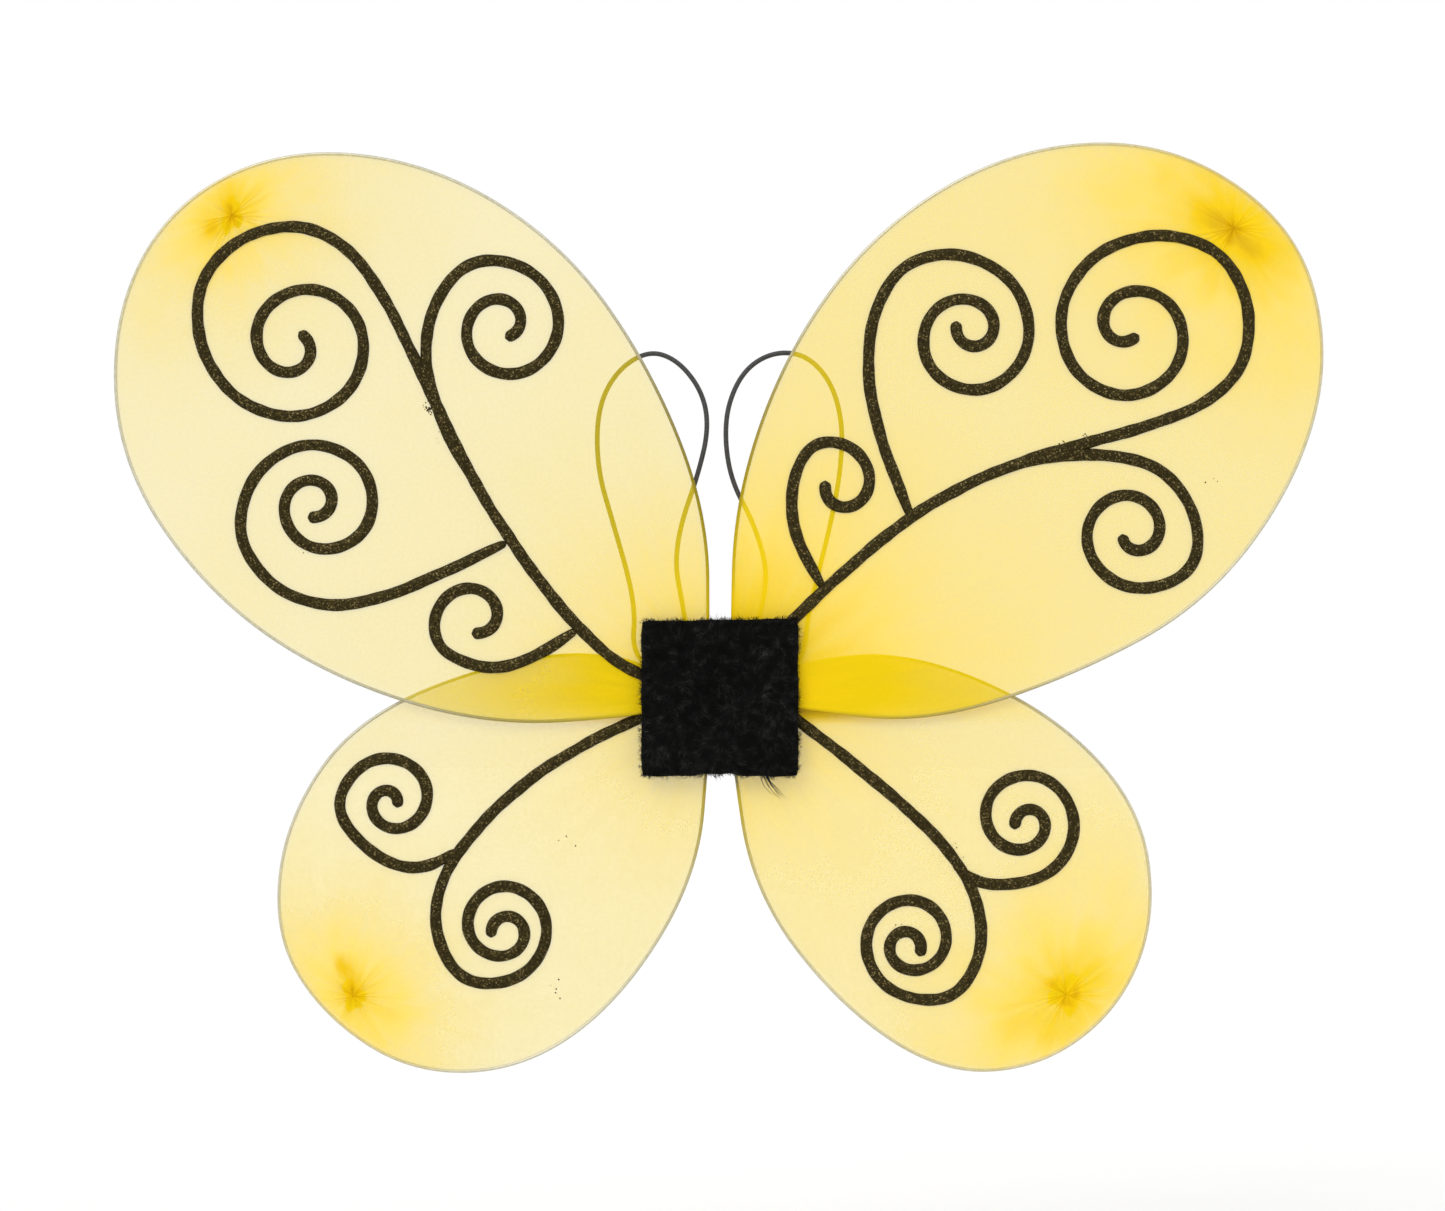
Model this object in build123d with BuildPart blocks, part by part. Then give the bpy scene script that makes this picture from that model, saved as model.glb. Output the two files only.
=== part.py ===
from build123d import *
import math
import os

# Fairy wings, worn on the back and built as four wire loops, each inside a sleeve of sheer nylon.
# Frame: millimetres, +X to the right as seen from the decorated front, +Z up, and the front faces -Y.
# The origin is the centre of the back pad's rear face, which lies on the wearer's back.

os.makedirs("parts", exist_ok=True)

# ---------------------------------------------------------------- driving dimensions
WIRE_D = 1.5  # steel frame wire
WIRE_PLAY = 0.05  # room round the wire in its sleeve and in its lashing
NYLON = 0.3  # one layer of the stocking
PAD_SIZE = 62.4  # side of the front plush square
PAD_CORNER = 3.0
FRONT_PAD_THICK = 4.0
BACK_PAD_SIZE = 60.0
BACK_PAD_THICK = 3.0
PAD_EDGE = 1.0  # rounding of the plush edges

HINGE_X = 5.0  # each wing's root run of wire stands this far from the middle
HINGE_Y = -8.6
UPPER_Y = -10.4  # middle plane of the upper wings, which lie in front
LOWER_Y = -6.8  # middle plane of the lower wings
FRONT_PAD_BACK_Y = -12.0  # rear face of the front pad

PIN_END_Z = 3.0  # where a root run ends and turns out towards the wing
JOG_START_Z = 14.0  # where a root run starts to step from the hinge line to its wing's plane
PIN_BEND = 2.0
JOG_BEND = 6.0
ROOT_CUT_R = 18.0  # the sleeves are left open inside this circle round the root
ROOT_CUT_Z = 4.0
ROOT_CUT_X = 4.0

LASHING_THICK = 4.4
LASHING_FROM_Z = 5.0
LASHING_TO_Z = 12.0
GLUE_WIDTH = 5.0
GLUE_LENGTH = 26.0
GLUE_ROUND = 1.5

BEAD_WIDTH = 4.6  # glitter glue line
BEAD_HEIGHT = 1.2
PAD_CLEARANCE = 0.3
CURL_STEP = 40.0  # degrees from one control point of a curl to the next

STRAP_D = 2.0
STRAP_Y = -4.3  # the straps' ends lie between the back pad and the lower wings
DAB_LENGTH = 5.0
DAB_WIDTH = 5.0
DAB_THICK = 2.4

ROSETTE_R = 4.5  # gathered toe of the stocking
TIE_R = 1.8
TUFT_R = 3.6

BEND_SHARE = 0.45  # share of the shorter run that a bend takes up


# ---------------------------------------------------------------- curves
def turn_at(before, corner, after):
    """Degrees by which a route turns at a corner."""
    return (Vector(*corner) - Vector(*before)).get_angle(Vector(*after) - Vector(*corner))


def bend_radius(before, corner, after):
    """The largest bend that its two runs leave room for."""
    shorter = min(
        (Vector(*corner) - Vector(*before)).length,
        (Vector(*after) - Vector(*corner)).length,
    )
    return BEND_SHARE * shorter / math.tan(math.radians(turn_at(before, corner, after) / 2))


def open_radii(points):
    """One radius for each inner corner of an open route."""
    return [bend_radius(*points[i - 1 : i + 2]) for i in range(1, len(points) - 1)]


def loop_radii(points):
    """One radius for each corner of a closed route."""
    count = len(points)
    return [bend_radius(points[i - 1], points[i], points[(i + 1) % count]) for i in range(count)]


def curl(start_centre, end_centre, start_radius, end_radius, start_angle, sweep):
    """Control points of a curl that tightens evenly while its centre drifts."""
    steps = round(abs(sweep) / CURL_STEP)
    outside = 1 / math.cos(math.radians(abs(sweep) / steps / 2))
    points = []
    for step in range(steps + 1):
        share = step / steps
        radius = outside * start_radius * (end_radius / start_radius) ** share
        angle = math.radians(start_angle + sweep * share)
        centre_x = start_centre[0] + (end_centre[0] - start_centre[0]) * share
        centre_z = start_centre[1] + (end_centre[1] - start_centre[1]) * share
        points.append((centre_x + radius * math.cos(angle), centre_z + radius * math.sin(angle)))
    return points


# ---------------------------------------------------------------- the four wings
# rim: corners of the wire loop from the pad's top or bottom edge, round the tip, to the pad's side.
# strokes: each glitter line's stem, then its curl.
WINGS = {
    "upper_left": {
        "side": -1,
        "up": 1,
        "rim": [
            (-5, 74), (-28, 132), (-63, 181), (-115, 213), (-173, 219), (-219, 196),
            (-242, 151), (-239, 93), (-204, 42), (-157, 9), (-94, -11), (-32, -7),
        ],
        "toe": (-194.5, 192.0),
        "strokes": [
            ([(-28, 8), (-51, 19), (-105, 91), (-145, 194)],
             ((-164.5, 146.5), (-172.5, 139.5), 48.0, 7.5, 137, 635)),
            ([(-108, 100), (-121, 139)], ((-87.0, 144.5), (-87.5, 150.0), 32.0, 6.5, 124, -558)),
            ([(-85, 62), (-155, 29)], ((-157.0, 73.5), (-163.5, 78.0), 36.0, 6.0, 210, -666)),
            ([(-57, 27), (-84, 10)], ((-102.0, 29.0), (-98.0, 35.5), 13.5, 9.5, 255, -350)),
        ],
    },
    "upper_right": {
        "side": 1,
        "up": 1,
        "rim": [
            (6, 80), (28, 141), (66, 190), (121, 220), (180, 221), (229, 188),
            (243, 138), (230, 87), (194, 38), (141, 9), (82, -10), (33, -4),
        ],
        "toe": (204.5, 187.0),
        "strokes": [
            ([(26, 28), (96, 93), (199, 111), (214, 151)],
             ((169.0, 142.0), (162.0, 151.0), 46.0, 7.5, 52, 614)),
            ([(127, 96), (178, 98)], ((163.5, 68.5), (166.0, 65.5), 30.5, 5.5, -17, -520)),
            ([(76, 72), (55, 127)], ((95.0, 141.5), (100.5, 149.0), 38.5, 6.0, 134, -683)),
            ([(41, 44), (26, 71)], ((45.5, 87.5), (50.5, 85.0), 16.0, 8.0, 141, -331)),
        ],
    },
    "lower_left": {
        "side": -1,
        "up": -1,
        "rim": [
            (-9, -71), (-40, -121), (-78, -148), (-122, -150), (-158, -127), (-178, -94),
            (-173, -48), (-143, -6), (-76, 18), (-32, 16),
        ],
        "toe": (-146.5, -119.0),
        "strokes": [
            ([(-27, -6), (-71, -26), (-117, -72)],
             ((-89.5, -89.5), (-85.5, -95.0), 26.5, 5.5, -135, 682)),
            ([(-105, -61), (-125, -72)], ((-128.5, -41.5), (-133.0, -43.0), 24.5, 4.0, 200, -572)),
        ],
    },
    "lower_right": {
        "side": 1,
        "up": -1,
        "rim": [
            (13, -77), (48, -123), (89, -150), (129, -147), (160, -123), (174, -86),
            (167, -42), (131, -5), (77, 18), (33, 15),
        ],
        "toe": (138.0, -118.5),
        "strokes": [
            ([(27, -6), (107, -69)], ((79.5, -95.0), (74.5, -101.0), 28.0, 5.0, -42, -702)),
            ([(93, -66), (105, -76)], ((118.0, -47.5), (123.0, -52.0), 26.5, 5.0, -62, 608)),
        ],
    },
}


def frame_corners(wing):
    """Corners of a wing's wire loop: its root run on the hinge line, then its rim in its own plane."""
    side = wing["side"]
    up = wing["up"]
    plane_y = UPPER_Y if up > 0 else LOWER_Y
    root = [
        (side * HINGE_X, HINGE_Y, up * PIN_END_Z),
        (side * HINGE_X, HINGE_Y, up * JOG_START_Z),
        (side * (HINGE_X - 0.2), plane_y, up * 20.0),
    ]
    rim = [(x, plane_y, z) for x, z in wing["rim"]]
    return root + rim + [(side * 13.0, plane_y, 0.0)]


def frame_radii(corners):
    """Bends of a wire loop: small where the root run turns out and steps across, wide round the rim."""
    radii = loop_radii(corners)
    radii[0] = PIN_BEND
    radii[1] = JOG_BEND
    radii[2] = JOG_BEND
    radii[-1] = JOG_BEND
    return radii


def wire_frame(name, wing):
    """The steel loop that holds a wing open, swept as two halves that join into one ring."""
    corners = frame_corners(wing)
    with BuildPart() as wire:
        with BuildLine() as path:
            FilletPolyline(*corners, radius=frame_radii(corners), close=True)
        edges = path.wire().order_edges()
        half = len(edges) // 2
        for stretch in (Wire(edges[:half]), Wire(edges[half:])):
            start = Plane(origin=stretch.position_at(0), z_dir=stretch.tangent_at(0))
            with BuildSketch(start):
                Circle(WIRE_D / 2)
            sweep(path=stretch)
    wire.part.label = name
    export_step(wire.part, f"parts/{name}.step")
    return wire.part


def nylon_sleeve(name, wing):
    """The stocking over a loop: a front and a back layer joined round the rim, open at the root."""
    corners = frame_corners(wing)
    radii = frame_radii(corners)
    outline = [(x, z) for x, _, z in corners]
    plane_y = UPPER_Y if wing["up"] > 0 else LOWER_Y
    cavity = WIRE_D / 2 + WIRE_PLAY
    with BuildPart() as sleeve:
        for reach, mode in ((cavity + NYLON, Mode.ADD), (cavity, Mode.SUBTRACT)):
            with BuildSketch(Plane.XZ.offset(-plane_y)):
                with BuildLine():
                    FilletPolyline(*outline, radius=radii, close=True)
                make_face()
                offset(amount=reach)
            extrude(amount=reach, both=True, mode=mode)
        with BuildSketch(Plane.XZ.offset(-plane_y)):
            with Locations((wing["side"] * ROOT_CUT_X, wing["up"] * ROOT_CUT_Z)):
                Circle(ROOT_CUT_R)
        extrude(amount=WIRE_D * 2, both=True, mode=Mode.SUBTRACT)
    sleeve.part.label = name
    export_step(sleeve.part, f"parts/{name}.step")
    return sleeve.part


def front_face_y(wing):
    """Y of the front of a wing's nylon."""
    plane_y = UPPER_Y if wing["up"] > 0 else LOWER_Y
    return plane_y - WIRE_D / 2 - WIRE_PLAY - NYLON


def back_face_y(wing):
    """Y of the back of a wing's nylon."""
    plane_y = UPPER_Y if wing["up"] > 0 else LOWER_Y
    return plane_y + WIRE_D / 2 + WIRE_PLAY + NYLON


def glitter_swirl(name, wing):
    """The raised glitter-glue lines of a wing, run together where they meet, and clear of the pad."""
    with BuildPart() as swirl:
        with BuildSketch(Plane.XZ.offset(-front_face_y(wing))):
            for stem, turns in wing["strokes"]:
                route = stem + curl(*turns)
                with BuildLine():
                    middle = FilletPolyline(*route, radius=open_radii([(x, z, 0) for x, z in route]))
                    offset(middle, amount=BEAD_WIDTH / 2, side=Side.BOTH, mode=Mode.REPLACE)
                make_face()
            Rectangle(
                PAD_SIZE + 2 * PAD_CLEARANCE, PAD_SIZE + 2 * PAD_CLEARANCE, mode=Mode.SUBTRACT
            )
        extrude(amount=BEAD_HEIGHT)
    swirl.part.label = name
    export_step(swirl.part, f"parts/{name}.step")
    return swirl.part


def toe_tie(name, wing):
    """The stocking's toe, gathered into a rosette and tied off behind the wing."""
    x, z = wing["toe"]
    axis_plane = Plane(origin=(x, back_face_y(wing), z), x_dir=(1, 0, 0), z_dir=(0, 0, 1))
    with BuildPart() as tie:
        with BuildSketch(axis_plane):
            with BuildLine():
                Polyline(
                    (0, 0), (ROSETTE_R, 0), (ROSETTE_R * 0.7, 0.6), (TIE_R, 1.1), (TIE_R, 1.9),
                    (TUFT_R, 3.2), (TUFT_R * 0.6, 3.6), (0, 3.4), (0, 0),
                )
            make_face()
        revolve(axis=Axis(axis_plane.origin, (0, 1, 0)))
    tie.part.label = name
    export_step(tie.part, f"parts/{name}.step")
    return tie.part


pieces = {}
for wing_name, wing_shape in WINGS.items():
    pieces["wire_" + wing_name] = wire_frame("wire_" + wing_name, wing_shape)
    pieces["nylon_" + wing_name] = nylon_sleeve("nylon_" + wing_name, wing_shape)
    pieces["swirl_" + wing_name] = glitter_swirl("swirl_" + wing_name, wing_shape)
    pieces["toe_tie_" + wing_name] = toe_tie("toe_tie_" + wing_name, wing_shape)

# ---------------------------------------------------------------- plush pads
with BuildPart() as back_pad:
    with BuildSketch(Plane.XZ):
        RectangleRounded(BACK_PAD_SIZE, BACK_PAD_SIZE, PAD_CORNER)
    extrude(amount=BACK_PAD_THICK)
    fillet(back_pad.faces().sort_by(Axis.Y)[0].edges(), PAD_EDGE)
back_pad.part.label = "back_pad"
export_step(back_pad.part, "parts/back_pad.step")

with BuildPart() as front_pad:
    with BuildSketch(Plane.XZ.offset(-FRONT_PAD_BACK_Y)):
        RectangleRounded(PAD_SIZE, PAD_SIZE, PAD_CORNER)
    extrude(amount=FRONT_PAD_THICK)
    fillet(front_pad.faces().sort_by(Axis.Y)[0].edges(), PAD_EDGE)
front_pad.part.label = "front_pad"
export_step(front_pad.part, "parts/front_pad.step")

# ---------------------------------------------------------------- lashings round the root runs
for lashing_name, lashing_z in (("lashing_top", LASHING_FROM_Z), ("lashing_bottom", -LASHING_TO_Z)):
    with BuildPart() as lashing:
        with BuildSketch(Plane.XY.offset(lashing_z)):
            with Locations((0, HINGE_Y)):
                SlotCenterToCenter(2 * HINGE_X, LASHING_THICK)
            with Locations((-HINGE_X, HINGE_Y), (HINGE_X, HINGE_Y)):
                Circle(WIRE_D / 2 + WIRE_PLAY, mode=Mode.SUBTRACT)
        extrude(amount=LASHING_TO_Z - LASHING_FROM_Z)
    lashing.part.label = lashing_name
    export_step(lashing.part, f"parts/{lashing_name}.step")

# ---------------------------------------------------------------- glue between lashings and pads
lashing_front_y = HINGE_Y - LASHING_THICK / 2
lashing_back_y = HINGE_Y + LASHING_THICK / 2
for glue_name, glue_from_y, glue_to_y in (
    ("glue_front", lashing_front_y, FRONT_PAD_BACK_Y),
    ("glue_back", -BACK_PAD_THICK, lashing_back_y),
):
    with BuildPart() as glue:
        with BuildSketch(Plane.XZ.offset(-glue_from_y)):
            RectangleRounded(GLUE_WIDTH, GLUE_LENGTH, GLUE_ROUND)
        extrude(amount=glue_from_y - glue_to_y)
    glue.part.label = glue_name
    export_step(glue.part, f"parts/{glue_name}.step")

# ---------------------------------------------------------------- elastic shoulder loops
# Each loop leaves between the pads at the side, stands up behind the wings, and comes back in at the top.
STRAP_ROUTES = {
    "left": [
        (-22, STRAP_Y, 10.5), (-31, STRAP_Y, 13), (-36.5, -4.0, 21.5), (-34, -2.5, 32),
        (-36, 0, 46), (-43, 4, 70), (-49.5, 8, 92), (-49.5, 11, 116), (-42, 13, 131.5),
        (-29, 14, 140), (-17, 13.5, 136), (-7, 12, 123), (-4.5, 10.5, 108), (-9, 8, 89),
        (-16, 5, 69), (-18, 2, 53), (-15.5, -2, 40), (-13.8, STRAP_Y, 30), (-12, STRAP_Y, 21),
    ],
    "right": [
        (12.5, STRAP_Y, 21), (15.3, STRAP_Y, 31), (18, -2, 41), (18.5, 2, 54), (13, 5, 71),
        (5, 8, 86), (2, 10, 102), (3, 12, 118), (10, 13.5, 132.5), (22, 14, 139.5),
        (35, 13, 138), (45, 11.5, 127), (49.5, 9.5, 110), (48.5, 7, 91), (45, 4, 72),
        (39.5, 0.5, 50), (35, -2.5, 32), (34, -4.0, 20), (30, STRAP_Y, 11), (22, STRAP_Y, 7),
    ],
}
for side_name, route in STRAP_ROUTES.items():
    radii = open_radii(route)
    with BuildPart() as strap:
        with BuildLine() as strap_path:
            FilletPolyline(*route, radius=radii)
        elastic = strap_path.wire()
        with BuildSketch(Plane(origin=elastic.position_at(0), z_dir=elastic.tangent_at(0))):
            Circle(STRAP_D / 2)
        sweep(path=elastic)
    strap.part.label = "strap_" + side_name
    export_step(strap.part, f"parts/strap_{side_name}.step")
    ideal = math.pi * STRAP_D**2 / 4 * elastic.length
    print(
        "strap", side_name, "length", round(elastic.length, 1),
        "volume over section times length", round(strap.part.volume / ideal, 4),
        "radii", [round(radius, 1) for radius in radii],
    )

    with BuildPart() as dabs:
        for end, inner in ((route[0], route[1]), (route[-1], route[-2])):
            outward = Vector(*end) - Vector(*inner)
            middle = Vector(*end) + outward.normalized() * DAB_LENGTH / 2
            middle = Vector(middle.X, -BACK_PAD_THICK - DAB_THICK / 2, middle.Z)
            with BuildSketch(Plane(origin=middle, x_dir=outward, z_dir=(0, -1, 0))):
                Rectangle(DAB_LENGTH, DAB_WIDTH)
            extrude(amount=DAB_THICK / 2, both=True)
    dabs.part.label = "dab_" + side_name
    export_step(dabs.part, f"parts/dab_{side_name}.step")
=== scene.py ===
import math
import random

import bpy
import numpy as np
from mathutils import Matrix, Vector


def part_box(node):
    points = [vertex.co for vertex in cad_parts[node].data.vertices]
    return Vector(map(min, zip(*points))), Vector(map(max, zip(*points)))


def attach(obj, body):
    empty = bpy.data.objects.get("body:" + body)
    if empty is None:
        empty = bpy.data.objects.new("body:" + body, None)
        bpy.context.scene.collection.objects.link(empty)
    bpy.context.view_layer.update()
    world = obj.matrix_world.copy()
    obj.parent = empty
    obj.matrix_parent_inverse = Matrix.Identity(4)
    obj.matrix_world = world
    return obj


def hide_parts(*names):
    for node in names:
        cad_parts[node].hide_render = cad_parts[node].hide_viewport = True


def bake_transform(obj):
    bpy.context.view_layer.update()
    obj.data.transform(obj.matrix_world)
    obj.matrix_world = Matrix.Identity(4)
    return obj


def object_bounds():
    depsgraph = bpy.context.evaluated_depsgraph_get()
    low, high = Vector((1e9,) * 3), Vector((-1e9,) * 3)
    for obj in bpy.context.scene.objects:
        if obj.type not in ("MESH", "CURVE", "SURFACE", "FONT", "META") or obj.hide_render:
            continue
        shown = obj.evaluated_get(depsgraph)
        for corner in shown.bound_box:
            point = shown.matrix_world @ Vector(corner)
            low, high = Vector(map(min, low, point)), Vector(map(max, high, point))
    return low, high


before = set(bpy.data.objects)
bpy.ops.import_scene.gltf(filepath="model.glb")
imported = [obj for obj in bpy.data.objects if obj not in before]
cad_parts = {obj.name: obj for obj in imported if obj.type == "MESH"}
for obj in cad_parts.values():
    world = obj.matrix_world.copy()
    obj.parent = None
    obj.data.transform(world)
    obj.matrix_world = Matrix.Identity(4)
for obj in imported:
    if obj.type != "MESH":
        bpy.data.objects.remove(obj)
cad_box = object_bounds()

# Fairy wings, in metres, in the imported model's frame: +X right, +Z up, and the decorated front
# faces -Y.
MM = 0.001

# ---------------------------------------------------------------- sizes
WIRE_D = 1.3 * MM
WIRE_PLAY = 0.05 * MM
BEAD_WIDTH = 4.7 * MM
BEAD_HEIGHT = 1.35 * MM
CURL_STEP = 40.0  # degrees between control points of a curl
SPLINE_STEPS = 24  # points worked out between two corners of a smooth line, before even spacing
STRAP_D = 2.0 * MM
LAYER_GAP = 0.35 * MM  # half the distance between a wing's two nylon layers, away from the wire
ROOT_CUT = (4.0 * MM, 4.0 * MM, 18.0 * MM)  # the sleeve's open end: centre's |x|, |z| and radius
HINGE_X = 5.0 * MM
HINGE_Y = -8.6 * MM
UPPER_Y = -10.4 * MM
LOWER_Y = -6.8 * MM
STRAP_Y = -4.3  # in mm, like the routes that it is part of

# ---------------------------------------------------------------- camera
FRAME_WIDTH = 575.5 * MM  # what the picture's width takes in at the wings
LENS = 100.0
SENSOR = 36.0
AIM = (1.0 * MM, -10.0 * MM, 36.8 * MM)


def make_camera():
    """A long lens, square on to the decorated front."""
    data = bpy.data.cameras.new("camera")
    data.lens = LENS
    data.sensor_width = SENSOR
    camera = bpy.data.objects.new("camera", data)
    camera.location = (AIM[0], AIM[1] - FRAME_WIDTH * LENS / SENSOR, AIM[2])
    camera.rotation_euler = (math.radians(90), 0, 0)
    bpy.context.scene.collection.objects.link(camera)
    bpy.context.scene.camera = camera


make_camera()


# ---------------------------------------------------------------- curves and meshes
def curl(start_centre, end_centre, start_radius, end_radius, start_angle, sweep):
    """Control points, in mm, of a curl that tightens evenly while its centre drifts."""
    steps = round(abs(sweep) / CURL_STEP)
    outside = 1 / math.cos(math.radians(abs(sweep) / steps / 2))
    points = []
    for step in range(steps + 1):
        share = step / steps
        radius = outside * start_radius * (end_radius / start_radius) ** share
        angle = math.radians(start_angle + sweep * share)
        centre_x = start_centre[0] + (end_centre[0] - start_centre[0]) * share
        centre_z = start_centre[1] + (end_centre[1] - start_centre[1]) * share
        points.append((centre_x + radius * math.cos(angle), centre_z + radius * math.sin(angle)))
    return points


def smooth_line(corners, closed, step):
    """Evenly spaced points on the smooth line that its corners pull towards them."""
    corners = np.asarray(corners, float)
    if closed:
        before, after = np.roll(corners, 1, axis=0), np.roll(corners, -1, axis=0)
        starts, pulls, ends = (before + corners) / 2, corners, (corners + after) / 2
    else:
        middles = (corners[1:] + corners[:-1]) / 2
        starts = np.vstack([corners[:1], middles[1:-1]])
        ends = np.vstack([middles[1:-1], corners[-1:]])
        pulls = corners[1:-1]
    t = np.linspace(0, 1, SPLINE_STEPS, endpoint=False)[:, None]
    line = np.vstack([
        (1 - t) ** 2 * a + 2 * t * (1 - t) * b + t * t * c for a, b, c in zip(starts, pulls, ends)
    ])
    line = np.vstack([line, line[:1] if closed else ends[-1:]])
    along = np.r_[0, np.cumsum(np.linalg.norm(np.diff(line, axis=0), axis=1))]
    places = np.linspace(0, along[-1], max(int(along[-1] / step), 8) + 1)
    even = np.stack([np.interp(places, along, line[:, k]) for k in range(line.shape[1])], axis=1)
    return even[:-1] if closed else even


def stroke_line(corners, step):
    """Evenly spaced points on a smoother line that follows smooth_line's open path."""
    corners = np.asarray(corners, float)
    eased = corners.copy()
    eased[1:-1] -= (corners[:-2] - 2 * corners[1:-1] + corners[2:]) / 24
    eased = np.vstack([2 * eased[0] - eased[1], eased, 2 * eased[-1] - eased[-2]])
    t = np.linspace(0, 1, SPLINE_STEPS, endpoint=False)[:, None]
    first, second = (1 - t) ** 3, 3 * t**3 - 6 * t**2 + 4
    third, fourth = -3 * t**3 + 3 * t**2 + 3 * t + 1, t**3
    line = np.vstack([
        (first * a + second * b + third * c + fourth * d) / 6
        for a, b, c, d in zip(eased[:-3], eased[1:-2], eased[2:-1], eased[3:])
    ] + [corners[-1:]])
    along = np.r_[0, np.cumsum(np.linalg.norm(np.diff(line, axis=0), axis=1))]
    places = np.linspace(0, along[-1], int(along[-1] / step) + 1)
    return np.stack([np.interp(places, along, line[:, k]) for k in (0, 1)], axis=1)


def mesh_object(name, vertices, faces, materials, smooth=True):
    """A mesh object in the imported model's frame."""
    mesh = bpy.data.meshes.new(name)
    mesh.from_pydata(np.asarray(vertices).tolist(), [], [tuple(int(i) for i in f) for f in faces])
    mesh.validate()
    for material in materials:
        mesh.materials.append(material)
    if smooth:
        mesh.shade_smooth()
    piece = bpy.data.objects.new(name, mesh)
    bpy.context.scene.collection.objects.link(piece)
    return piece


# ---------------------------------------------------------------- materials
class Shader:
    """A material's node tree, with short calls for the nodes that these materials share."""

    def __init__(self, name):
        self.material = bpy.data.materials.new(name)
        self.material.use_nodes = True
        self.tree = self.material.node_tree
        self.surface = self.tree.nodes["Principled BSDF"]

    def node(self, kind, **inputs):
        made = self.tree.nodes.new(kind)
        for key, value in inputs.items():
            self.feed(made.inputs[key.replace("_", " ")], value)
        return made

    def feed(self, socket, value):
        if isinstance(value, bpy.types.NodeSocket):
            self.tree.links.new(value, socket)
        else:
            socket.default_value = value

    def math(self, operation, *values):
        made = self.tree.nodes.new("ShaderNodeMath")
        made.operation = operation
        for socket, value in zip(made.inputs, values):
            self.feed(socket, value)
        return made.outputs[0]

    def vector(self, operation, *values):
        made = self.tree.nodes.new("ShaderNodeVectorMath")
        made.operation = operation
        for socket, value in zip(made.inputs, values):
            self.feed(socket, value)
        return made.outputs["Value" if operation in ("LENGTH", "DISTANCE", "DOT_PRODUCT") else 0]

    def scale(self, vector, factor):
        made = self.tree.nodes.new("ShaderNodeVectorMath")
        made.operation = "SCALE"
        self.feed(made.inputs[0], vector)
        self.feed(made.inputs["Scale"], factor)
        return made.outputs[0]

    def place(self):
        """The point's own place on its piece."""
        return self.node("ShaderNodeTexCoord").outputs["Object"]

    def noise(self, vector, scale, detail=2.0, roughness=0.5):
        made = self.node(
            "ShaderNodeTexNoise", Vector=vector, Scale=scale, Detail=detail, Roughness=roughness
        )
        return made.outputs["Fac"]

    def ramp(self, factor, *stops):
        made = self.tree.nodes.new("ShaderNodeValToRGB")
        elements = made.color_ramp.elements
        while len(elements) < len(stops):
            elements.new(0.5)
        for element, (place, colour) in zip(elements, stops):
            element.position = place
            element.color = (*colour, 1)
        self.feed(made.inputs[0], factor)
        return made.outputs[0]

    def bump(self, height, strength, distance):
        made = self.node("ShaderNodeBump", Height=height, Strength=strength, Distance=distance)
        self.feed(self.surface.inputs["Normal"], made.outputs[0])

    def set(self, **inputs):
        for key, value in inputs.items():
            self.feed(self.surface.inputs[key.replace("_", " ")], value)


ROOT_HALO = 40.0 * MM  # how far the denser cloth reaches from the root
TOE_STRETCH = 1.35  # how much further the toe's gathers reach along the rim than across it
OVERLAP_SHADE_Z = (-11.0 * MM, -2.0 * MM)  # Z where the painted shade on a lower wing's top starts, and is whole
FOLD_WARP = 3.4 * MM  # how uneven the outline of a dark fold is
ALPHA = (0.05, 0.92)  # the thinnest and the densest that one layer of cloth gets


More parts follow.
